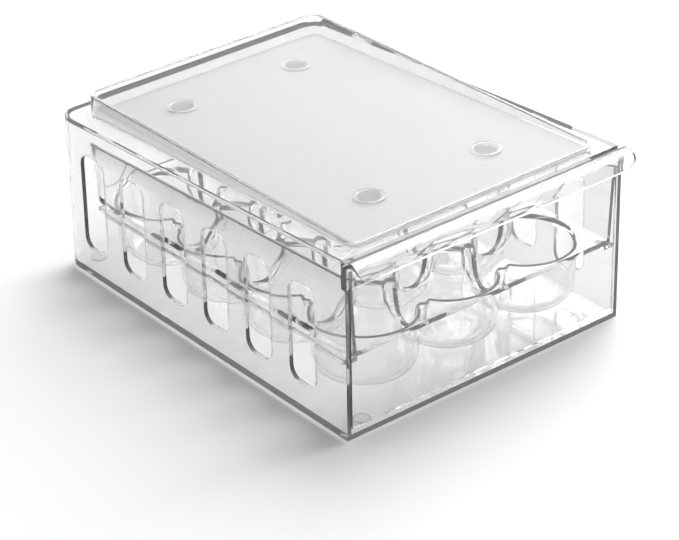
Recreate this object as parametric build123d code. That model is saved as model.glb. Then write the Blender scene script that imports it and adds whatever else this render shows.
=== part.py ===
from build123d import *
import os

# Case: one clear box, open at the front, a little narrower and lower at the back
case_width = 168.9
case_depth = 222.8
overall_height = 95.0
case_draft = 2.4
roof_fall = 9.5
wall = 2.2
base_thickness = 2.8
roof_thickness = 2.4
case_corner_radius = 10.0
corner_margin = 2.0

# Slots through both side walls
slot_count = 6
slot_width = 19.3
slot_corner_radius = 6.5
slot_flare = 1.0
slot_floor_gap = 12.4
slot_roof_gap = 11.8
slot_end_gap = 13.5
slot_row_shift = 2.1

# Stacking rim, frosted panel and its rings on the roof
rim_rise = 2.4
rim_inset = 9.8
rim_front_setback = 6.5
rim_rear_setback = 11.2
rim_thickness = 2.0
rim_corner_radius = 7.0
panel_thickness = 0.8
panel_gap = 0.2
ring_outer_radius = 7.75
ring_inner_radius = 5.4
ring_height = 1.3
ring_side_gap = 48.75
ring_end_gap = 40.9

# Feet under the base
foot_height = 1.0
foot_radius = 4.0
foot_inset_x = 16.0
foot_inset_y = 10.4

# Drawer front and its rolled lip
front_thickness = 2.4
front_side_gap = 0.75
front_floor_gap = 2.4
seat_gap = 0.3
strip_height = 15.0
strip_thickness = 2.9
lip_reach = 12.5
lip_below_rim = 1.0
lip_tip_thickness = 1.9
lip_drop = 1.9
lip_corner_radius = 6.5

# Egg deck and cups
deck_height = 41.0
deck_thickness = 2.8
deck_front_margin = 1.2
deck_rear_margin = 0.8
deck_corner_radius = 10.0
cup_columns = ["left", "middle", "right"]
cup_rows = 4
cup_web = 2.1
cup_side_room = 7.15
deck_rear_room = 15.9
cup_taper = 1.4
cup_depth = 28.8
cup_wall = 2.2
cup_corner = 11.0
cup_rim_round = 2.6
saddle_radius = 12.5
saddle_depth = 17.8

# Tray walls that stand on the edges of the deck and lean outwards
tray_thickness = 2.0
tray_lean = 2.2
tray_side_gap = 0.4
tray_roof_gap = 6.6
tray_end_margin = 1.0
tray_sweep_foot = (1.0, 0.8)
tray_sweep_top = (0.25, 1.0)

# Runners inside the case that carry the edges of the deck
runner_thickness = 2.5
runner_gap = 0.3
runner_cup_gap = 1.3
runner_front_gap = 0.5

# Places worked out from the sizes above; the origin is under the middle of the whole footprint
overhang = lip_reach - front_thickness
rear_y = (case_depth + overhang) / 2
front_y = rear_y - case_depth
middle_y = (front_y + rear_y) / 2
beyond = 2 * case_depth
case_floor = foot_height + base_thickness
front_back_y = front_y + front_thickness
seat_y = front_back_y + seat_gap
corner_y = rear_y - case_corner_radius - corner_margin
slot_length = (overall_height - rim_rise - roof_fall - roof_thickness - slot_roof_gap
               - case_floor - slot_floor_gap)
slot_pitch = (case_depth - 2 * slot_end_gap) / slot_count
cup_row_space = (case_depth - front_thickness - wall - deck_rear_room
                 - deck_front_margin - deck_rear_margin - 2 * cup_rim_round)
row_pitch = (cup_row_space + cup_web) / cup_rows
cup_column_space = case_width - 2 * (wall + cup_side_room + cup_wall)
column_pitch = (cup_column_space + cup_web) / len(cup_columns)
cup_radius = (min(row_pitch, column_pitch) - cup_web) / 2
cup_base_radius = cup_radius - cup_taper
cup_opening = cup_radius + cup_rim_round
first_row_y = front_back_y + deck_front_margin + cup_opening
deck_rear_y = first_row_y + (cup_rows - 1) * row_pitch + cup_opening + deck_rear_margin
deck_top = case_floor + deck_height
deck_bottom = deck_top - deck_thickness
deck_inset = wall + tray_side_gap + tray_lean
saddle_axis_z = deck_top - saddle_depth + saddle_radius
row_places = [first_row_y + row * row_pitch for row in range(cup_rows)]
column_places = [(column - 1) * column_pitch for column in range(len(cup_columns))]
lip_top = overall_height - lip_below_rim
strip_bottom = lip_top - strip_height
lip_radius = lip_reach / 2
lip_centre_z = lip_top - lip_radius


def case_half_width(y):
    """Half the case's width at y; it narrows evenly to the back."""
    return case_width / 2 - case_draft * (y - front_y) / case_depth


def roof_z(y):
    """Height of the roof's upper face at y; it falls evenly to the back."""
    return overall_height - rim_rise - roof_fall * (y - front_y) / case_depth


def block(x0, x1, y0, y1, z0, z1):
    """A box given by its limits on each axis."""
    return Pos(x0, y0, z0) * Box(x1 - x0, y1 - y0, z1 - z0, align=(Align.MIN, Align.MIN, Align.MIN))


def plan(inset, y0, y1, rear_radius, front_radius=0):
    """Plan outline that follows the case's sides, drawn in by inset, from y0 to y1."""
    front = case_half_width(y0) - inset
    rear = case_half_width(y1) - inset
    outline = make_face(Polyline((-front, y0), (front, y0), (rear, y1), (-rear, y1), close=True))
    outline = fillet(outline.vertices().sort_by(Axis.Y)[-2:], rear_radius)
    if front_radius > 0:
        outline = fillet(outline.vertices().sort_by(Axis.Y)[:2], front_radius)
    return outline


def prism(outline, z0, z1):
    """A plan outline raised from z0 to z1."""
    return extrude(Pos(0, 0, z0) * outline, amount=z1 - z0)


def roof_layer(low, high):
    """A wide layer parallel to the roof, from low to high above its upper face."""
    corners = [(y, roof_z(y) + rise) for y, rise in
               ((-beyond, low), (beyond, low), (beyond, high), (-beyond, high))]
    return extrude(Plane.YZ * make_face(Polyline(*corners, close=True)), amount=case_width, both=True)


def side(solid, sign, y0, y1):
    """The part of a solid on one side of the middle plane, between two places along Y."""
    x0, x1 = sorted((0, sign * case_width))
    return solid & block(x0, x1, y0, y1, 0, overall_height)


def case_shell():
    """The upright walls of the case in one piece, up to the underside of the roof."""
    outer = prism(plan(0, front_y, rear_y, case_corner_radius), case_floor, overall_height)
    inner_radius = case_corner_radius - wall
    inner = prism(plan(wall, front_y - wall, rear_y - wall, inner_radius), case_floor, overall_height)
    strip_seat = block(-case_width, case_width, front_y, seat_y, strip_bottom - seat_gap, overall_height)
    below_roof = roof_layer(-2 * overall_height, -roof_thickness)
    return ((outer - inner) & below_roof) - strip_seat


def case_base():
    """Flat base plate."""
    return prism(plan(0, front_y, rear_y, case_corner_radius), foot_height, case_floor)


def side_slot(sign, y):
    """The space of one slot through a side wall; it widens evenly to the outer face."""
    sections = []
    for depth in (-wall, 2 * wall):
        inset = slot_flare * depth / wall
        outline = RectangleRounded(slot_width - 2 * inset, slot_length - 2 * inset, slot_corner_radius - inset)
        place = Pos(sign * (case_half_width(y) - depth), y, case_floor + slot_floor_gap + slot_length / 2)
        sections.append((place * (Plane.YZ * outline)).face())
    return loft(sections, ruled=True)


def case_side(sign):
    """Side wall with its row of upright slots."""
    solid = side(case_shell(), sign, front_y, corner_y)
    for number in range(slot_count):
        y = middle_y + slot_row_shift + (number - (slot_count - 1) / 2) * slot_pitch
        solid -= side_slot(sign, y)
    return solid


def case_back():
    """Back wall with both rounded corners."""
    return case_shell() & block(-case_width, case_width, corner_y, rear_y, 0, overall_height)


def case_roof():
    """Sloping roof, set back at the front for the drawer's strip."""
    outline = prism(plan(0, seat_y, rear_y, case_corner_radius), case_floor, overall_height)
    return outline & roof_layer(-roof_thickness, 0)


def rim_outline(inset):
    """Plan of the stacking rim, drawn in by inset from its outer face."""
    return plan(rim_inset + inset, front_y + rim_front_setback + inset, rear_y - rim_rear_setback - inset,
                rim_corner_radius - inset, rim_corner_radius - inset)


def stacking_rim():
    """Upright rim with a level top edge, standing on the sloping roof."""
    tall = prism(rim_outline(0), case_floor, overall_height)
    hollow = prism(rim_outline(rim_thickness), case_floor, overall_height)
    return (tall - hollow) & roof_layer(0, overall_height)


def frosted_panel():
    """Thin frosted sheet on the roof, inside the rim."""
    outline = rim_outline(rim_thickness + panel_gap)
    return prism(outline, case_floor, overall_height) & roof_layer(0, panel_thickness)


def panel_ring(x, y):
    """Low ring that stands on the frosted panel."""
    tube = Circle(ring_outer_radius) - Circle(ring_inner_radius)
    tall = prism(Pos(x, y) * tube, case_floor, overall_height)
    return tall & roof_layer(panel_thickness, panel_thickness + ring_height)


def foot(x, y):
    """Low round foot under the base."""
    return prism(Pos(x, y) * Circle(foot_radius), 0, foot_height)


def runner(sign):
    """Ledge on the inside of a side wall, just under the edge of the deck and as long as its straight side."""
    top = deck_bottom - runner_gap
    start = front_back_y + runner_front_gap
    room = prism(plan(wall, start, rear_y - wall, case_corner_radius - wall), top - runner_thickness, top)
    inner_x = column_places[-1] + cup_radius + cup_wall + runner_cup_gap
    room -= block(-inner_x, inner_x, front_y, rear_y, 0, overall_height)
    return side(room, sign, front_y, deck_rear_y - deck_corner_radius)


def drawer_front():
    """Flat front panel that fills the mouth of the case."""
    half = case_width / 2 - wall - front_side_gap
    return block(-half, half, front_y, front_back_y, case_floor + front_floor_gap, strip_bottom)


def handle_lip():
    """Full-width strip over the case's front edges, rolled over into a finger lip."""
    back = front_back_y
    roll_y = back - lip_radius
    tip = back - lip_reach
    inner_back = back - strip_thickness
    inner_tip = tip + lip_tip_thickness
    low = lip_centre_z - lip_drop
    inner_radius = (inner_back - inner_tip) / 2
    outline = [
        Line((back, strip_bottom), (back, lip_centre_z)),
        ThreePointArc((back, lip_centre_z), (roll_y, lip_top), (tip, lip_centre_z)),
        Line((tip, lip_centre_z), (tip, low)),
        Line((tip, low), (inner_tip, low)),
        Line((inner_tip, low), (inner_tip, lip_centre_z)),
        ThreePointArc((inner_tip, lip_centre_z), (inner_tip + inner_radius, lip_centre_z + inner_radius),
                      (inner_back, lip_centre_z)),
        Line((inner_back, lip_centre_z), (inner_back, strip_bottom)),
        Line((inner_back, strip_bottom), (back, strip_bottom)),
    ]
    solid = extrude(Plane.YZ * make_face(outline), amount=case_width / 2, both=True)
    for sign in (-1, 1):
        x0, x1 = sorted((sign * (case_width / 2 - lip_corner_radius), sign * case_width))
        corner = block(x0, x1, tip - lip_drop, roll_y, low - lip_drop, low + lip_corner_radius)
        round_end = Pos(x0 if sign > 0 else x1, roll_y, low + lip_corner_radius) * (
            Rot(90, 0, 0) * Cylinder(lip_corner_radius, 2 * lip_reach))
        solid -= corner - round_end
    return solid


def cup_hollow():
    """Half section of the inside of a cup: steep wall, round corner, flat floor."""
    floor = deck_top - cup_depth
    points = [(0, floor), (cup_base_radius, floor), (cup_radius, deck_top), (0, deck_top)]
    section = make_face(Polyline(*points, close=True))
    return fillet(section.vertices().sort_by(Axis.X)[-2:].sort_by(Axis.Y)[:1], cup_corner)


def turned(section):
    """A half section in X and Z turned about the Z axis."""
    return revolve(Plane.XZ * section, Axis.Z, 360)


def gutter(radius, top):
    """Upright U section round the origin: a half circle of a radius, with straight sides up to top."""
    bowl = Circle(radius) & Rectangle(2 * radius, 2 * radius, align=(Align.CENTER, Align.MAX))
    return bowl + Rectangle(2 * radius, top, align=(Align.CENTER, Align.MIN))


def along_rows(section):
    """A section carried across the tray on each row of cups, and along it on each column."""
    reach_x = column_places[-1]
    reach_y = row_places[-1] - row_places[0]
    bars = []
    for y in row_places:
        bars.append(extrude(Pos(0, y, saddle_axis_z) * (Plane.YZ * section), amount=reach_x, both=True))
    for x in column_places:
        start = Pos(x, row_places[0], saddle_axis_z)
        bars.append(extrude(start * (Plane.XZ * section), amount=-reach_y))
    return bars


def egg_tray():
    """Deck, cups and saddles together, as they are moulded."""
    deck = prism(plan(deck_inset, front_back_y, deck_rear_y, deck_corner_radius), deck_bottom, deck_top)
    hollow = cup_hollow()
    down = (Align.MIN, Align.MAX)
    keep = Pos(0, deck_top) * Rectangle(2 * cup_opening, 2 * deck_top, align=down)
    cup = turned(offset(hollow, cup_wall) & keep)
    mouth = Pos(cup_radius, deck_top) * Rectangle(cup_rim_round, cup_rim_round, align=down)
    flare = mouth - Pos(cup_opening, deck_top - cup_rim_round) * Circle(cup_rim_round)
    inside = turned(hollow) + turned(flare)
    places = [Pos(x, y) for y in row_places for x in column_places]
    web = gutter(saddle_radius + cup_wall, deck_bottom - saddle_axis_z)
    tray = deck + [place * cup for place in places] + along_rows(web)
    tray -= [place * inside for place in places]
    return tray - along_rows(gutter(saddle_radius, saddle_depth))


def egg_cup(tray, column, row):
    """One cup with its own share of the deck, parted midway between neighbours."""
    x, y = column_places[column], row_places[row]
    x0 = x - column_pitch / 2 if column > 0 else -beyond
    x1 = x + column_pitch / 2 if column < len(column_places) - 1 else beyond
    y0 = y - row_pitch / 2 if row > 0 else -beyond
    y1 = y + row_pitch / 2 if row < cup_rows - 1 else beyond
    return tray & block(x0, x1, y0, y1, 0, overall_height)


def leaning_solid(inset):
    """The space inside the leaning tray walls, drawn in by inset."""
    top = roof_z(front_y) - roof_thickness - tray_roof_gap
    radius = deck_corner_radius - inset
    foot_plan = Pos(0, 0, deck_top) * plan(deck_inset + inset, front_back_y, deck_rear_y - inset, radius)
    top_plan = Pos(0, 0, top) * plan(deck_inset - tray_lean + inset, front_back_y,
                                     deck_rear_y + tray_lean - inset, radius + tray_lean)
    return loft([foot_plan.face(), top_plan.face()], ruled=True)


def tray_wall(sign):
    """Leaning side wall of the tray, sweeping down to the deck round its rear corner."""
    walls = leaning_solid(0) - leaning_solid(tray_thickness)
    walls &= roof_layer(-overall_height, -roof_thickness - tray_roof_gap)
    rear_half = case_half_width(deck_rear_y) - deck_inset
    end_x = rear_half - deck_corner_radius - tray_end_margin
    corner_start = deck_rear_y - deck_corner_radius
    high = roof_z(corner_start)
    foot_point, top_point = (end_x, deck_top), (rear_half + tray_lean, high)
    sweep = Spline(foot_point, top_point, tangents=(tray_sweep_foot, tray_sweep_top))
    edges = [sweep, Line(top_point, (0, high)), Line((0, high), (0, deck_top))]
    edges.append(Line((0, deck_top), foot_point))
    above = extrude(Plane.XZ * make_face(edges), amount=-beyond)
    above &= block(0, case_width, corner_start, beyond, 0, overall_height)
    wall_right = side(walls - above, 1, front_back_y, rear_y)
    wall_right -= block(0, end_x, front_y, rear_y, 0, overall_height)
    return wall_right if sign > 0 else mirror(wall_right, Plane.YZ)


def save(name, solid):
    """Write one sub-part as a STEP file."""
    export_step(solid, os.path.join("parts", name + ".step"))


os.makedirs("parts", exist_ok=True)
save("case_base", case_base())
save("case_back", case_back())
save("case_roof", case_roof())
save("stacking_rim", stacking_rim())
save("frosted_panel", frosted_panel())
for side_name, sign in (("left", -1), ("right", 1)):
    save("case_side_" + side_name, case_side(sign))
    save("runner_" + side_name, runner(sign))
    save("tray_wall_" + side_name, tray_wall(sign))
    for end_name, end in (("front", -1), ("rear", 1)):
        ring_y = middle_y + end * (case_depth / 2 - ring_end_gap)
        ring_x = sign * (case_width / 2 - ring_side_gap)
        save(f"panel_ring_{end_name}_{side_name}", panel_ring(ring_x, ring_y))
        foot_y = middle_y + end * (case_depth / 2 - foot_inset_y)
        save(f"foot_{end_name}_{side_name}", foot(sign * (case_width / 2 - foot_inset_x), foot_y))
save("drawer_front", drawer_front())
save("handle_lip", handle_lip())
tray = egg_tray()
for row in range(cup_rows):
    for column, column_name in enumerate(cup_columns):
        save(f"egg_cup_row{row + 1}_{column_name}", egg_cup(tray, column, row))
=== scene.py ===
import bmesh
import bpy
import numpy as np
from mathutils import Matrix, Vector


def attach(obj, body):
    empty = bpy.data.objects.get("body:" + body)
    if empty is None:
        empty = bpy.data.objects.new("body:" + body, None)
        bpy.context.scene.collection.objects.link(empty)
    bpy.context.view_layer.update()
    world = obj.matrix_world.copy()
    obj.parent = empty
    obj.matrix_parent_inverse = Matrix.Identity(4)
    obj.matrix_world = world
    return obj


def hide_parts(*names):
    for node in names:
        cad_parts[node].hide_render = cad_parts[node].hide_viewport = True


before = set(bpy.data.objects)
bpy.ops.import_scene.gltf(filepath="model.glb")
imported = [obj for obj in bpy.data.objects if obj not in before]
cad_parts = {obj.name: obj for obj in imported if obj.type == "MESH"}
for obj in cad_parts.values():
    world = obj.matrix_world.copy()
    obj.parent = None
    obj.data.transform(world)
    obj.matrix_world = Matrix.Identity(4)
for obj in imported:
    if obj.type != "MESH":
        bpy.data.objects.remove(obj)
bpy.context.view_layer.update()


# Case: one clear box injection-moulded in acrylic, open at the front and pierced by six
# upright slots in each side. It narrows and sinks a little to the back, so it leaves the
# mould, and every edge keeps the small round of the tool.
front, seat, rear, depth = -106.35, -103.65, 116.45, 222.8
front_half, side_draft, side_turn, side_slope = 84.45, 2.4, 0.6, 0.0108
roof_front, roof_fall, roof_skin = 92.6, 9.5, 2.4
case_low, case_floor, strip_low = 1.0, 3.8, 78.7
wall, corner, case_edge = 2.2, 10.0, 0.7
slot_low, slot_high, slot_half, slot_corner = 22.7, 62.4, 9.4, 6.2
slot_count, slot_middle, slot_pitch = 6, 7.15, 32.633
slot_row = slot_middle + slot_pitch * (np.arange(slot_count) - (slot_count - 1) / 2)
slot_steps, strip_level, roof_level = 8, 11, 12


def half_width(y):
    """Half the width of the case at y: it falls evenly from the front to the back, so a side is
    turned by side_turn degrees in plan, which is a slope of side_slope."""
    return front_half - side_draft * (y - front) / depth


def roof(y):
    """Height of the roof's upper face at y: it falls evenly from the front to the back."""
    return roof_front - roof_fall * (y - front) / depth


class Shade:
    """A shader socket used in sums: each sum adds the Math node that works it out."""

    def __init__(self, tree, socket):
        self.tree, self.socket = tree, socket

    def node(self, kind, settings, inputs, out=0):
        """Adds a node: its settings first, then the values or links of its sockets."""
        made = self.tree.nodes.new("ShaderNode" + kind)
        for key, value in settings.items():
            setattr(made, key, value)
        for key, value in inputs.items():
            if isinstance(value, Shade):
                self.tree.links.new(value.socket, made.inputs[key])
            else:
                made.inputs[key].default_value = value
        return Shade(self.tree, made.outputs[out])

    def __mul__(self, other):
        return self.node("Math", {"operation": "MULTIPLY"}, {0: self, 1: other})

    __rmul__ = __mul__

    def __add__(self, other):
        return self.node("Math", {"operation": "ADD"}, {0: self, 1: other})

    __radd__ = __add__


def plastic(name, transmission, ior):
    """A new plastic finish: its shader, and the place on the piece in metres."""
    finish = bpy.data.materials.new(name)
    finish.use_nodes = True
    shader = finish.node_tree.nodes["Principled BSDF"]
    shader.inputs["Transmission Weight"].default_value = transmission
    shader.inputs["IOR"].default_value = ior
    place = finish.node_tree.nodes.new("ShaderNodeTexCoord").outputs["Object"]
    return finish, shader, Shade(finish.node_tree, place)


def lets_light_through(finish, shader, place, level, lit, shaded):
    """Lamp rays pass straight on, as a share: level for level faces, lit for upright faces on the
    lamp's side of the box, right and back, and shaded for those on the left and front, so that the
    shadow falls there. The two blend within 0.03 metres of the box's middle."""
    blend = 0.03
    through_level, through_lit, through_shaded = [
        place.node("BsdfTransparent", {}, {"Color": (share, share, share, 1)})
        for share in (level, lit, shaded)]
    normal = place.node("NewGeometry", {}, {}, "Normal")
    along, deep, rise = [place.node("SeparateXYZ", {}, {0: normal}, axis) for axis in "XYZ"]
    x, y = [place.node("SeparateXYZ", {}, {0: place}, axis) for axis in "XY"]
    lamp_side = place.node("MapRange", {}, {"Value": x * along * along + y * deep * deep,
                                            "From Min": -blend, "From Max": blend})
    upright = place.node("MixShader", {}, {0: lamp_side, 1: through_shaded, 2: through_lit})
    clear = place.node("MixShader", {}, {0: rise * rise, 1: upright, 2: through_level})
    lamp = place.node("LightPath", {}, {}, "Is Shadow Ray")
    seen = Shade(place.tree, shader.outputs[0])
    mixed = place.node("MixShader", {}, {0: lamp, 1: seen, 2: clear})
    output = finish.node_tree.nodes["Material Output"]
    finish.node_tree.links.new(mixed.socket, output.inputs["Surface"])


def clear_acrylic(name, clearness, lit, shaded):
    """Water-clear glossy plastic, with a faint haze that comes and goes and the slow ripples that
    cooling leaves."""
    finish, shader, place = plastic(name, clearness, ior=1.49)
    shader.inputs["Base Color"].default_value = (0.985, 0.987, 0.987, 1)
    haze = place.node("TexNoise", {}, {"Vector": place, "Scale": 60.0, "Detail": 3.0})
    flow = place.node("TexNoise", {}, {"Vector": place, "Scale": 35.0, "Detail": 1.0})
    finish.node_tree.links.new((haze * 0.02).socket, shader.inputs["Roughness"])
    ripple = place.node("Bump", {}, {"Height": flow, "Strength": 0.15, "Distance": 0.0004})
    finish.node_tree.links.new(ripple.socket, shader.inputs["Normal"])
    lets_light_through(finish, shader, place, 1.0, lit, shaded)
    return finish


case_acrylic = clear_acrylic("case_acrylic", clearness=0.93, lit=0.9, shaded=0.36)


def moulding(name, patches, body, finish=case_acrylic, round_edge=0.0):
    """One welded piece from patches, each a grid of points in millimetres. Four neighbouring
    points of a grid make a face, points in the same place are merged, and the faces are turned
    outwards."""
    merge_reach, sliver, crease, round_from = 4e-6, 1e-6, np.radians(32), np.radians(40)
    places, faces, start = [], [], 0
    for patch in patches:
        rows, columns = patch.shape[:2]
        index = start + np.arange(rows * columns).reshape(rows, columns)
        corners = [index[:-1, :-1], index[1:, :-1], index[1:, 1:], index[:-1, 1:]]
        faces.append(np.stack(corners, axis=-1).reshape(-1, 4))
        places.append(patch.reshape(-1, 3) / 1000)
        start += rows * columns
    mesh = bpy.data.meshes.new(name)
    mesh.from_pydata(np.concatenate(places), [], np.concatenate(faces))
    form = bmesh.new()
    form.from_mesh(mesh)
    bmesh.ops.remove_doubles(form, verts=form.verts, dist=merge_reach)
    bmesh.ops.dissolve_degenerate(form, edges=form.edges, dist=sliver)
    bmesh.ops.recalc_face_normals(form, faces=form.faces)
    form.to_mesh(mesh)
    form.free()
    mesh.shade_smooth()
    mesh.set_sharp_from_angle(angle=crease)
    mesh.materials.append(finish)
    piece = bpy.data.objects.new(name, mesh)
    bpy.context.scene.collection.objects.link(piece)
    if round_edge:
        rounded = piece.modifiers.new("rounded_edges", "BEVEL")
        rounded.width = round_edge / 1000
        rounded.segments = 3
        rounded.limit_method = "ANGLE"
        rounded.angle_limit = round_from
        rounded.harden_normals = True
    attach(piece, body)
    return piece


def points(x, y, z):
    """Points from their three coordinates, which may be arrays or single numbers."""
    return np.stack(np.broadcast_arrays(x, y, z), axis=-1).astype(float)


def both_sides(patches):
    """The patches of the right half, and their mirror images on the left."""
    return patches + [patch * [-1, 1, 1] for patch in patches]


def across(edge):
    """A strip from a line of points on the right to its mirror image on the left."""
    return np.stack([edge, edge * [-1, 1, 1]], axis=1)


def case_plan(inset):
    """Right half of the plan, drawn in by inset: the side's cross lines from front to back, eight
    to a slot, then the round corner."""
    cells = np.linspace(slot_row[0] - slot_pitch / 2, slot_row[-1] + slot_pitch / 2,
                        slot_count * slot_steps + 1)
    y = np.r_[front, seat, cells]
    turn = np.radians(np.linspace(side_turn, 90, 11))
    corner_x = half_width(rear - corner) - corner
    x = np.r_[half_width(y) - inset, corner_x + (corner - inset) * np.cos(turn)]
    return x, np.r_[y, rear - corner + (corner - inset) * np.sin(turn)]


def case_levels(y, low, drop):
    """Thirteen heights on each upright line of a wall, in step with the points round a slot."""
    marks = np.interp(np.arange(roof_level), [0, 4, 8, strip_level],
                      [low, slot_low, slot_high, strip_low])
    lower = np.broadcast_to(marks, (len(y), roof_level))
    return np.concatenate([lower, (roof(y) - drop)[:, None]], axis=1)


def case_wall(inset, low, drop):
    """Upright face round the right half of the case, as plan points by heights."""
    x, y = case_plan(inset)
    return points(x[:, None], y[:, None], case_levels(y, low, drop))


def pierced(centre):
    """Slot cell of the side wall: from the cell's outline on the outer face to the slot, through
    it, and back out to the outline on the inner face. The slot has straight sides and rounded
    corners, and each ring has forty steps: eight below, twelve up, eight above, twelve down."""
    y0, y1 = centre - slot_pitch / 2, centre + slot_pitch / 2
    step = np.arange(41)
    turn = np.radians(np.interp(step, [0, 3, 5, 8, 12, 16, 20, 23, 25, 28, 32, 36, 40],
                                [225, 270, 270, 315, 360, 360, 405, 450, 450, 495, 540, 540, 585]))
    lift = np.interp(step, [0, 12, 16, 32, 36, 40], [0, 0, 1, 1, 0, 0])
    along = np.interp(step, [0, 3, 5, 23, 25, 40], [-1, -1, 1, 1, -1, -1])
    cell_y = np.interp(step, [0, 8, 20, 28, 40], [y0, y1, y1, y0, y0])
    slot_y = centre + (slot_half - slot_corner) * along + slot_corner * np.cos(turn)
    slot_z = slot_low + (slot_high - slot_low) * lift + slot_corner * np.sin(turn)
    rings = []
    for inset, low, drop in ((0, case_low, 0), (wall, case_floor, roof_skin)):
        right, left = case_levels(np.array([y1, y0]), low, drop)
        cell_z = np.r_[np.full(slot_steps, low), right, roof(cell_y[21:28]) - drop, left[::-1]]
        rings.append([points(half_width(cell_y) - inset, cell_y, cell_z),
                      points(half_width(slot_y) - inset, slot_y, slot_z)])
    return np.stack([rings[0][0], rings[0][1], rings[1][1], rings[1][0]], axis=1)


outer, inner = case_wall(0, case_low, 0), case_wall(wall, case_floor, roof_skin)
last_cell = 2 + slot_count * slot_steps
half = [pierced(centre) for centre in slot_row]
for face in (outer, inner):
    half += [face[:2, :roof_level], face[1:3], face[last_cell:]]
half += [np.stack([outer[0, :roof_level], inner[0, :roof_level]]),
         np.stack([outer[:2, strip_level], inner[:2, strip_level]]),
         np.stack([outer[1, strip_level:], inner[1, strip_level:]])]
whole = [across(outer[-1]), across(inner[-1]), across(outer[:, 0]), across(inner[:, 0]),
         across(outer[1:, roof_level]), across(inner[1:, roof_level]),
         across(np.stack([outer[0, 0], inner[0, 0]])),
         across(np.stack([outer[1, roof_level], inner[1, roof_level]]))]
case = moulding("case_shell", both_sides(half) + whole, "case", round_edge=case_edge)
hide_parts("case_base", "case_back", "case_roof", "case_side_left", "case_side_right")


# Runners: a ledge moulded along the inside of each side wall, just under the straight sides of
# the drawer's deck. They run into the wall, so no seam shows, and their free edges are rounded.
runner_edge, runner_low, runner_top = 76.4, 39.2, 41.7
runner_start, straight_end, sunk_in, ledge_edge = 2.9, 88.35, 2.1, 0.6
runner_y = np.array([front + runner_start, straight_end])
runner_root = half_width(runner_y) - sunk_in
runner_rings = [points(x, runner_y, z)
                for x, z in ((runner_edge, runner_low), (runner_root, runner_low),
                             (runner_root, runner_top), (runner_edge, runner_top))]
runner = np.stack(runner_rings + runner_rings[:1], axis=1)
runner_ends = [np.stack([ends[[0, 1]], ends[[3, 2]]]) for ends in runner[:, :4]]
for name, sign in (("runner_left", -1), ("runner_right", 1)):
    patches = [patch * [sign, 1, 1] for patch in [runner] + runner_ends]
    ledge = moulding(name + "_ledge", patches, "case", round_edge=ledge_edge)
    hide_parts(name)


# Feet: four low round pads moulded under the corners of the base, which keep the flat
# underside off the shelf. Each has a rounded rim.
foot_x, foot_front, foot_rear = 68.45, -95.95, 106.05
foot_radius, foot_edge, foot_top = 4.0, 0.5, 1.1
foot_turn = np.radians(np.linspace(0, 360, 49))
foot_round = np.radians(np.linspace(-90, 0, 5))
foot_r = np.r_[0, foot_radius - foot_edge + foot_edge * np.cos(foot_round), foot_radius, 0]
foot_z = np.r_[0, foot_edge + foot_edge * np.sin(foot_round), foot_top, foot_top]
for name, x, y in (("foot_front_left", -foot_x, foot_front),
                   ("foot_front_right", foot_x, foot_front),
                   ("foot_rear_left", -foot_x, foot_rear),
                   ("foot_rear_right", foot_x, foot_rear)):
    foot_y = y + foot_r * np.sin(foot_turn)[:, None]
    turned = points(x + foot_r * np.cos(foot_turn)[:, None], foot_y, foot_z)
    pad = moulding(name + "_pad", [turned], "case")
    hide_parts(name)


# Stacking rim: an upright fence of clear plastic round the roof, for a second box to stand on.
# Its top is level although the roof falls, and both its top edges are rounded.
rim_front, rim_rear, rim_inset, rim_corner = -99.85, 105.25, 9.8, 7.0
rim_skin, rim_top, rim_edge, rim_sunk, rim_arc = 2.0, 95.0, 0.6, 0.1, 9


def rim_plan(inset):
    """Closed plan of the rim, drawn in by inset: four straight sides that join quarter circles."""
    turn = np.radians(np.linspace(0, 90, rim_arc))
    corners = []
    for start, sx, y in ((0, 1, rim_rear - rim_corner), (90, -1, rim_rear - rim_corner),
                         (180, -1, rim_front + rim_corner), (270, 1, rim_front + rim_corner)):
        around = turn + np.radians(start)
        x = sx * (half_width(y) - rim_inset - rim_corner)
        corners.append(points(x + (rim_corner - inset) * np.cos(around),
                              y + (rim_corner - inset) * np.sin(around), 0))
    return np.concatenate(corners + [corners[0][:1]])


rim_round = np.radians(np.linspace(0, 90, 5))
rim_insets = np.r_[0, rim_edge - rim_edge * np.cos(rim_round),
                   rim_skin - rim_edge + rim_edge * np.sin(rim_round), rim_skin, 0]
rim_drops = np.r_[np.inf, rim_edge - rim_edge * np.sin(rim_round),
                  rim_edge - rim_edge * np.cos(rim_round), np.inf, np.inf]
rim_lines = []
for inset, drop in zip(rim_insets, rim_drops):
    line = rim_plan(inset)
    line[:, 2] = np.maximum(rim_top - drop, roof(line[:, 1]) - rim_sunk)
    rim_lines.append(line)
rim = moulding("stacking_rim_fence", [np.stack(rim_lines, axis=1)], "case")
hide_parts("stacking_rim")


# Frosted panel: a thin matte sheet on the roof inside the rim. A fine even etch turns what lies
# under it into a pale grey blur. Painted shade greys it inside the four round seats; its edge is
# rounded.
# The seats' middles are in millimetres, and their edge in squared metres from a middle.
ring_x, ring_front, ring_rear = 35.7, -65.45, 75.55
ring_middle, ring_reach = (ring_front + ring_rear) / 2, (ring_rear - ring_front) / 2
seat_shade_tone, sheet_tone, seat_end, sheet_start = 0.5, 0.69, 2.9e-5, 3.3e-5
frosted, shader, place = plastic("frosted_acrylic", transmission=0.7, ior=1.3)
seat_x, seat_y = [place.node("SeparateXYZ", {}, {0: place}, axis) for axis in "XY"]
seat_x = place.node("Math", {"operation": "ABSOLUTE"}, {0: seat_x}) + -ring_x / 1000
seat_y = place.node("Math", {"operation": "ABSOLUTE"}, {0: seat_y + -ring_middle / 1000})
seat_y = seat_y + -ring_reach / 1000
# Painted shade: the sheet's colour is made darker inside the four round seats.
sheet_tone_and_seat_shade = place.node("MapRange", {}, {"Value": seat_x * seat_x + seat_y * seat_y,
                                   "From Min": seat_end, "From Max": sheet_start,
                                   "To Min": seat_shade_tone, "To Max": sheet_tone})
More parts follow.
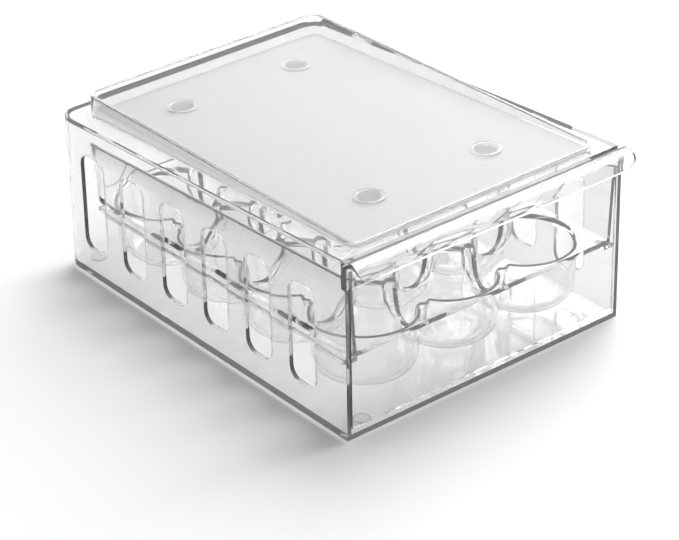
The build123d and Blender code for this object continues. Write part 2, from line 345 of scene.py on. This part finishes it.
frosted.node_tree.links.new(sheet_tone_and_seat_shade.socket, shader.inputs["Base Color"])
etch = place.node("TexNoise", {}, {"Vector": place, "Scale": 900.0, "Detail": 2.0})
cloud = place.node("TexNoise", {}, {"Vector": place, "Scale": 18.0, "Detail": 2.0})
frosted.node_tree.links.new((0.55 + cloud * 0.12).socket, shader.inputs["Roughness"])
grain = place.node("Bump", {}, {"Height": etch, "Strength": 0.25, "Distance": 0.0002})
frosted.node_tree.links.new(grain.socket, shader.inputs["Normal"])
lets_light_through(frosted, shader, place, level=0.99, lit=0.9, shaded=0.9)
panel_lines = []
for inset, rise in ((2.2, -0.05), (2.2, 0.5), (2.3, 0.72), (2.5, 0.8)):
    line = rim_plan(inset)
    line[:, 2] = roof(line[:, 1]) + rise
    panel_lines.append(line)
panel_right = [np.concatenate([line[3 * rim_arc:4 * rim_arc], line[:rim_arc]])
               for line in (panel_lines[0], panel_lines[-1])]
panel_patches = [np.stack(panel_lines, axis=1)] + [across(edge) for edge in panel_right]
panel = moulding("frosted_sheet", panel_patches, "case", frosted)
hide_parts("frosted_panel")


# Panel rings: four low rings of clear plastic that stand on the frosted sheet, one towards each
# of its corners. Each has a rounded top and runs a little into the sheet.
ring_out, ring_in, ring_edge, ring_low, ring_top = 7.75, 5.7, 0.4, 0.7, 2.1
ring_turn = np.radians(np.linspace(0, 360, 65))
ring_round = np.radians(np.linspace(0, 90, 5))
ring_r = np.r_[ring_out, ring_out - ring_edge + ring_edge * np.cos(ring_round),
               ring_in + ring_edge - ring_edge * np.sin(ring_round), ring_in, ring_out]
ring_h = np.r_[ring_low, ring_top - ring_edge + ring_edge * np.sin(ring_round),
               ring_top - ring_edge + ring_edge * np.cos(ring_round), ring_low, ring_low]
for name, x, y in (("panel_ring_front_left", -ring_x, ring_front),
                   ("panel_ring_front_right", ring_x, ring_front),
                   ("panel_ring_rear_left", -ring_x, ring_rear),
                   ("panel_ring_rear_right", ring_x, ring_rear)):
    ring_y = y + ring_r * np.sin(ring_turn)[:, None]
    turned = points(x + ring_r * np.cos(ring_turn)[:, None], ring_y, roof(ring_y) + ring_h)
    ring = moulding(name + "_seat", [turned], "case")
    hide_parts(name)


# Drawer front and lip: one clear plate that fills the mouth of the case, thickened into a strip
# at the top and rolled over forwards into a finger lip with rounded ends.
plate_half, lip_flat, lip_corner, cut_top = 81.5, 77.95, 6.5, 91.3
plate_low, step_z, strip_bottom, strip_z, roll_z, lip_low = 6.2, 78.2, 79.0, 83.0, 87.75, 85.85
plate_back, plate_face, strip_face, plate_edge = -104.0, -106.35, -106.85, 0.45
ends = lip_flat + lip_corner * np.sin(np.radians(np.linspace(0, 90, 10)))
lip_x = np.sort(np.r_[ends, plate_half, np.linspace(-60, 60, 5), -plate_half, -ends])
past_flat = np.clip(abs(lip_x) - lip_flat, 0, lip_corner)
lip_cut = lip_low + lip_corner - np.sqrt(lip_corner ** 2 - past_flat ** 2)
lip_cut = np.minimum(lip_cut, cut_top)


def lip_skin(centre_y, radius):
    """One skin of the lip at each place along it: straight up the back, over in a half circle, and
    down to the lower edge of the tip, which is cut off higher near the ends."""
    reach = np.arcsin(np.clip((lip_cut - roll_z) / radius, 0, 1))[:, None]
    turn = (np.pi - reach) * np.linspace(0, 1, 21)
    y = centre_y + radius * np.cos(turn)
    z = roll_z + radius * np.sin(turn)
    y = np.concatenate([np.full((len(lip_x), 2), centre_y + radius), y, y[:, -1:]], axis=1)
    strip = np.tile([strip_bottom, strip_z], (len(lip_x), 1))
    return points(lip_x[:, None], y, np.concatenate([strip, z, lip_cut[:, None]], axis=1))


over = lip_skin(centre_y=-110.225, radius=6.225)
under = lip_skin(centre_y=-110.7, radius=3.85)
outside = [np.flatnonzero(lip_x <= -plate_half), np.flatnonzero(lip_x >= plate_half)]
lip_patches = [over, under, np.stack([over[:, -1], under[:, -1]]), np.stack([over[0], under[0]]),
               np.stack([over[-1], under[-1]])]
lip_patches += [np.stack([over[lines, 0], under[lines, 0]]) for lines in outside]
plate_x = lip_x[abs(lip_x) <= plate_half][:, None]
plate_y = np.array([plate_back, plate_back, plate_back, plate_face, plate_face, strip_face])
plate_z = np.array([strip_bottom, step_z, plate_low, plate_low, step_z, strip_bottom])
plate = points(plate_x, plate_y, plate_z)
lip_patches += [plate] + [np.stack([line[:3], line[:2:-1]]) for line in (plate[0], plate[-1])]
front_plate = moulding("front_plate_and_lip", lip_patches, "drawer", round_edge=plate_edge)
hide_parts("drawer_front", "handle_lip")


# Egg tray: deck, twelve cups and the low walls at its sides, moulded in one clear sheet. The wall
# between two cups dips in a round saddle for the fingers, every rim is rolled, and the side walls
# lean out and sweep down to the deck round the rear corners.
rows, cup_pitch, first_row = 4, 49.3, 27.4
half_cell, cell_end = cup_pitch / 2, 24.7
deck_top, deck_low, deck_edge, deck_side, skin = 44.8, 42.0, 0.4, 2.4, 2.2
deck_front, deck_rear, deck_inset, deck_corner = -103.95, 98.35, 4.8, 10.0
cup_floor, cup_base, cup_taper, cup_depth = 16.0, 22.2, 1.4, 28.8
cup_corner, rim_roll, wall_lean = 8.0, 2.6, np.arctan(cup_taper / cup_depth)
corner_z, bend_top = cup_floor + cup_corner, cup_floor + cup_corner * (1 - np.sin(wall_lean))
corner_r = cup_base + cup_corner * (np.tan(wall_lean) - 1 / np.cos(wall_lean))
saddle_z, saddle_radius, shoulder_end, saddle_flat = 39.5, 12.5, 15.3, 10
fence_skin, fence_drop, fence_lean, fence_full, fence_edge = 2.0, 9.0, 2.2, 38.8, 0.8
sweep_start, sweep_bend, foot_pull, top_pull = 11, 6, (23, 19), (7, 29)
run_steps, foot_steps = 17, 15
row_y = deck_front + first_row + cup_pitch * np.arange(rows)


def wall_radius(z):
    """Inner radius of a cup's steep wall at a height: it grows evenly from the floor up."""
    return cup_base + cup_taper * (z - cup_floor) / cup_depth


def saddle_line(low_end, high_end):
    """Places along the line midway between two cups, with the heights of the plastic's two faces
    there: flat deck, rolled shoulder, steep side, and a half circle, with a wider half circle
    under it."""
    bowl, roll = np.radians(np.linspace(0, 90, 12)), np.radians(np.linspace(0, 90, 6))
    place = np.r_[saddle_radius * np.sin(bowl), shoulder_end - rim_roll * np.cos(roll),
                  18, 21, half_cell]
    shoulder = deck_top - rim_roll + rim_roll * np.sin(roll)
    top = np.r_[saddle_z - saddle_radius * np.cos(bowl), shoulder, np.full(3, deck_top)]
    wide = saddle_radius + skin
    under_bowl = saddle_z - np.sqrt(np.clip(wide ** 2 - place ** 2, 0, None))
    low = np.where(place < wide, under_bowl, deck_low)
    low = np.where(place >= half_cell - saddle_flat, deck_low, low)
    away = np.hypot(half_cell, place)
    under_cup = np.sqrt(np.clip((cup_corner + skin) ** 2 - (away - corner_r) ** 2, 0, None))
    low = np.where(away < corner_r + cup_corner + skin, np.maximum(low, corner_z - under_cup), low)
    both = np.c_[np.r_[-place[:0:-1], place], np.r_[top[:0:-1], top], np.r_[low[:0:-1], low]]
    return both[(both[:, 0] > low_end) & (both[:, 0] < high_end)]


def edge_line(x, y, nx, ny, fence, height):
    """Places on the deck's outer edge: where, which way is out, how thick and how tall the side
    wall is there, and the heights of the deck's two faces."""
    fields = np.broadcast_arrays(x, y, nx, ny, fence, height, deck_top, deck_low)
    return np.stack(fields, axis=-1).astype(float)


def middle_line(x, y, line):
    """Places on a line midway between two cups, in the same form as the deck's edge. Their wall
    height of -1 marks them as joined to the next cup."""
    fields = np.broadcast_arrays(x, y, 0, 0, 0, -1, line[:, 1], line[:, 2])
    return np.stack(fields, axis=-1).astype(float)


def fence_height(y):
    """Height of the side wall above the deck: its top runs below the roof, parallel to it."""
    return roof(y) - fence_drop - deck_top


def deck_half(y):
    """Half the deck's width at y."""
    return half_width(y) - deck_inset


def sweep_height(x):
    """Height of the side wall round the rear corner, by how far out the place is: a smooth cubic
    curve from the deck to the roof, with a pull of so far out and so far up at either end."""
    s = np.linspace(0, 1, 80)
    reach = deck_half(deck_rear)
    pull = [2 * s ** 3 - 3 * s ** 2 + 1, s ** 3 - 2 * s ** 2 + s,
            3 * s ** 2 - 2 * s ** 3, s ** 3 - s ** 2]
    out = (pull[0] * (reach - sweep_start) + pull[1] * foot_pull[0]
           + pull[2] * (reach + fence_lean) + pull[3] * top_pull[0])
    up = (pull[1] * foot_pull[1] + pull[2] * (roof(straight_end) - deck_top)
          + pull[3] * top_pull[1])
    return np.interp(x, out, up)


def side_run(y0, y1):
    """The right side of the deck from y0 to y1."""
    y = np.linspace(y0, y1, run_steps)
    return edge_line(deck_half(y), y, 1, side_slope, fence_skin, fence_height(y))


def rear_corner():
    """The right rear corner of the deck, a quarter circle. The side wall's level top passes into
    the sweep in a soft bend, a hyperbola between the two lines. Since a taller wall leans further
    out, the height is worked out four times over."""
    turn = np.radians(np.linspace(side_turn, 90, 22))
    nx, ny = np.cos(turn), np.sin(turn)
    x = deck_half(deck_rear - deck_corner) - deck_corner + deck_corner * nx
    y = deck_rear - deck_corner + deck_corner * ny
    level, height = fence_height(y), sweep_height(x)
    for _ in range(4):
        swept = sweep_height(x + fence_lean * height / fence_full * nx)
        bend = np.hypot(level - swept, sweep_bend * ny)
        height = np.clip((level + swept - bend) / 2, 0, None)
    return edge_line(x, y, nx, ny, fence_skin, height)


def cup_cell(x, y, rim):
    """Both faces of one cup's cell, as places round it by steps outwards from its middle. Upper
    face: flat floor, round corner, steep wall, rolled rim, flat deck. Lower face: the same, one
    skin further out and down."""
    flat_floor, touch = 6, 0.03
    where, way, fence, height = rim[:, :2], rim[:, 2:4], rim[:, 4], rim[:, 5]
    cells = []
    for face, shift in ((0, 0.0), (1, skin)):
        drawn_in = fence if face == 0 else deck_edge * (height >= 0)
        out = where - drawn_in[:, None] * way - [x, y]
        away = np.hypot(out[:, 0], out[:, 1])[:, None]
        end_z = rim[:, 6 + face][:, None]
        past_wall = np.clip(away - wall_radius(end_z), 0, None)
        rolled = np.minimum(rim_roll, past_wall) * (face == 0)
        wall_z = end_z - rolled
        bend_z = np.minimum(wall_z, bend_top)
        bend_low = np.clip((bend_z - corner_z) / -(cup_corner + shift), -1, 1)
        bend = -np.arccos(bend_low) + np.pi / 2
        turn = -np.pi / 2 + (np.pi / 2 - abs(bend)) * np.linspace(0, 1, 10)
        r = corner_r + (cup_corner + shift) * np.cos(turn)
        z = corner_z + (cup_corner + shift) * np.sin(turn)
        straight = np.linspace(0, 1, 6)[1:]
        top_r = np.where(wall_z > bend_top + touch, wall_radius(wall_z) + shift, r[:, -1:])
        wall_r = r[:, -1:] + (top_r - r[:, -1:]) * straight
        up_z = z[:, -1:] + (wall_z - z[:, -1:]) * straight
        over = np.radians(np.linspace(0, 90, 7))[1:]
        width = np.minimum(rim_roll, away - wall_r[:, -1:]) * (face == 0)
        rim_r = wall_r[:, -1:] + width * (1 - np.cos(over))
        rim_z = up_z[:, -1:] + rolled * np.sin(over)
        inner_r = [np.zeros_like(away), np.full_like(away, flat_floor)]
        floor_z = np.tile(cup_floor - shift, (len(away), 2))
        r = np.minimum(np.concatenate(inner_r + [r, wall_r, rim_r, away], axis=1), away)
        z = np.concatenate([floor_z, z, up_z, rim_z, end_z], axis=1)
        cells.append(points(x + r * out[:, :1] / away, y + r * out[:, 1:] / away, z))
    return cells


def edge_strip(run):
    """The side wall and the deck's edge along a run: up the wall's inner face, over its rounded
    top, down its outer face, and round the deck's lower edge."""
    height, fence = run[:, 5:6], run[:, 4:5]
    soft = np.minimum(fence_edge, np.minimum(height, fence) / 2)
    turn = np.radians(np.linspace(0, 90, 5))
    half_up = height / 2 - soft / 2
    low_up = np.tile(-deck_side - deck_edge * np.sin(turn), (len(run), 1))
    low_back = np.tile(deck_edge - deck_edge * np.cos(turn), (len(run), 1))
    up = np.concatenate([np.zeros_like(soft), half_up, height - soft + soft * np.sin(turn),
                         height - soft + soft * np.cos(turn), half_up, np.zeros_like(soft),
                         low_up], axis=1)
    back = np.concatenate([fence, fence, fence - soft + soft * np.cos(turn),
                           soft - soft * np.sin(turn), 0 * fence, 0 * fence, low_back], axis=1)
    out = fence_lean * np.clip(up, 0, None) / fence_full - back
    return points(run[:, :1] + out * run[:, 2:3], run[:, 1:2] + out * run[:, 3:4], deck_top + up)


tray_right, tray_middle, last = [], [], rows - 1
for number, y in enumerate(row_y):
    y0 = y - half_cell if number > 0 else deck_front
    y1 = y + half_cell if number < last else deck_rear
    upright = saddle_line(y0 - y if number == 0 else -cell_end,
                          y1 - y if number == last else cell_end)
    flat_way = saddle_line(-cell_end, cell_end)
    if number == 0:
        corner_x = deck_half(deck_front)
        foot_line = np.linspace(half_cell, corner_x - fence_skin, foot_steps)
        foot = edge_line(foot_line, deck_front, 0, -1, 0, 0)
        turned_up = edge_line(corner_x, deck_front, 1, side_slope, fence_skin, 0)[None]
        runs = [np.concatenate([foot, turned_up, side_run(y0, y1)])]
        front_line = np.linspace(-half_cell, half_cell, run_steps)
        middle_runs = [edge_line(front_line, deck_front, 0, -1, 0, 0)]
    elif number == last:
        round_end = rear_corner()
        back_line = np.linspace(round_end[-1, 0], half_cell, foot_steps)[1:]
        back = edge_line(back_line, deck_rear, 0, 1, fence_skin, 0)
        runs = [np.concatenate([side_run(y0, deck_rear - deck_corner), round_end[1:], back])]
        rear_line = np.linspace(half_cell, -half_cell, run_steps)
        middle_runs = [edge_line(rear_line, deck_rear, 0, 1, fence_skin, 0)]
    else:
        runs = [side_run(y0, y1)]
        middle_runs = []
    near = middle_line(flat_way[:, 0] + cup_pitch, y - half_cell, flat_way)
    far = middle_line(flat_way[::-1, 0] + cup_pitch, y + half_cell, flat_way[::-1])
    inside = middle_line(half_cell, upright[::-1, 0] + y, upright[::-1])
    right_rim = ([near] if number > 0 else []) + runs + ([far] if number < last else []) + [inside]
    right_rim = np.concatenate(right_rim + [right_rim[0][:1]])
    near = middle_line(flat_way[:, 0], y - half_cell, flat_way) if number > 0 else middle_runs[0]
    far = middle_line(flat_way[::-1, 0], y + half_cell, flat_way[::-1])
    far = far if number < last else middle_runs[0]
    middle_rim = [near, middle_line(half_cell, upright[:, 0] + y, upright), far,
                  middle_line(-half_cell, upright[::-1, 0] + y, upright[::-1])]
    middle_rim = np.concatenate(middle_rim + [near[:1]])
    tray_right += cup_cell(cup_pitch, y, right_rim) + [edge_strip(run) for run in runs]
    tray_middle += cup_cell(0, y, middle_rim) + [edge_strip(run) for run in middle_runs]
tray_acrylic = clear_acrylic("tray_acrylic", clearness=0.97, lit=1.0, shaded=1.0)
tray = moulding("egg_tray", both_sides(tray_right) + tray_middle, "drawer", tray_acrylic)
cup_nodes = [f"egg_cup_row{row}_{column}" for row in (1, 2, 3, 4)
             for column in ("left", "middle", "right")]
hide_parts("tray_wall_left", "tray_wall_right", *cup_nodes)


# Floor and light: a plain white sheet under the part, lit by a large soft box high at its right
# and a second one overhead. The pale room shows only in the plastic and lights nothing.
floor_half, lamp_aim = 1.6, Vector((0, 0, 0.05))
sheet = bpy.data.meshes.new("floor")
sheet.from_pydata([(-floor_half, -floor_half, 0), (floor_half, -floor_half, 0),
                   (floor_half, floor_half, 0), (-floor_half, floor_half, 0)], [], [(0, 1, 2, 3)])
floor = bpy.data.objects.new("floor", sheet)
bpy.context.scene.collection.objects.link(floor)
paper = bpy.data.materials.new("white_paper")
paper.use_nodes = True
shader = paper.node_tree.nodes["Principled BSDF"]
shader.inputs["Base Color"].default_value = (0.93, 0.93, 0.93, 1)
shader.inputs["Specular IOR Level"].default_value = 0.0
place = paper.node_tree.nodes.new("ShaderNodeTexCoord").outputs["Object"]
place = Shade(paper.node_tree, place)
fibre = place.node("TexNoise", {}, {"Vector": place, "Scale": 4.0})
paper.node_tree.links.new((0.85 + fibre * 0.1).socket, shader.inputs["Roughness"])
sheet.materials.append(paper)

scene = bpy.context.scene
for name, at, size, power in (("side_box", (1.75, 0.5, 2.0), 2.8, 107.0),
                              ("top_box", (-0.1, -0.2, 2.6), 2.2, 36.0)):
    box = bpy.data.lights.new(name, "AREA")
    box.shape, box.size, box.energy = "SQUARE", size, power
    holder = bpy.data.objects.new(name, box)
    scene.collection.objects.link(holder)
    holder.location = at
    holder.rotation_euler = (lamp_aim - Vector(at)).to_track_quat("-Z", "Y").to_euler()
world = bpy.data.worlds.new("studio")
scene.world = world
world.cycles_visibility.diffuse = False
world.use_nodes = True
way = world.node_tree.nodes.new("ShaderNodeTexCoord").outputs["Generated"]
way = Shade(world.node_tree, way)
rise = way.node("SeparateXYZ", {}, {0: way}, "Z")
dome = way.node("MapRange", {"interpolation_type": "SMOOTHSTEP"},
                {"Value": rise, "From Min": 0.35, "From Max": 0.8, "To Min": 0.97, "To Max": 0.88})
background = world.node_tree.nodes["Background"]
world.node_tree.links.new(dome.socket, background.inputs["Strength"])
background.inputs["Color"].default_value = (1.0, 1.0, 1.0, 1)
scene.view_settings.view_transform = "Standard"
scene.cycles.max_bounces = 96
scene.cycles.transmission_bounces = 96
scene.cycles.transparent_max_bounces = 64
scene.cycles.caustics_refractive = False
scene.cycles.caustics_reflective = False


# Camera: a long lens, high in front of the box and to its left. It looks down at the box and is
# turned a little on its own axis. Its length is given in pixels of a picture frame_pixels wide.
turn, dip, roll = np.radians([-39.244, 29.312, -1.129])
aim, distance = Vector((-0.03937, -0.0476, 0.048)), 1.2997
lens_pixels, frame_pixels, sensor = 2799.3, 679, 36.0
ahead = Vector((-np.sin(turn) * np.cos(dip), np.cos(turn) * np.cos(dip), -np.sin(dip)))
level = ahead.cross(Vector((0, 0, 1))).normalized()
upright = level.cross(ahead)
across_x = np.cos(roll) * level + np.sin(roll) * upright
up_y = -np.sin(roll) * level + np.cos(roll) * upright
lens = bpy.data.cameras.new("camera")
lens.sensor_width, lens.lens, lens.clip_end = sensor, lens_pixels * sensor / frame_pixels, 30
camera = bpy.data.objects.new("camera", lens)
scene.collection.objects.link(camera)
turned = Matrix((across_x, up_y, -ahead)).transposed().to_4x4()
camera.matrix_world = Matrix.Translation(aim - distance * ahead) @ turned
scene.camera = camera
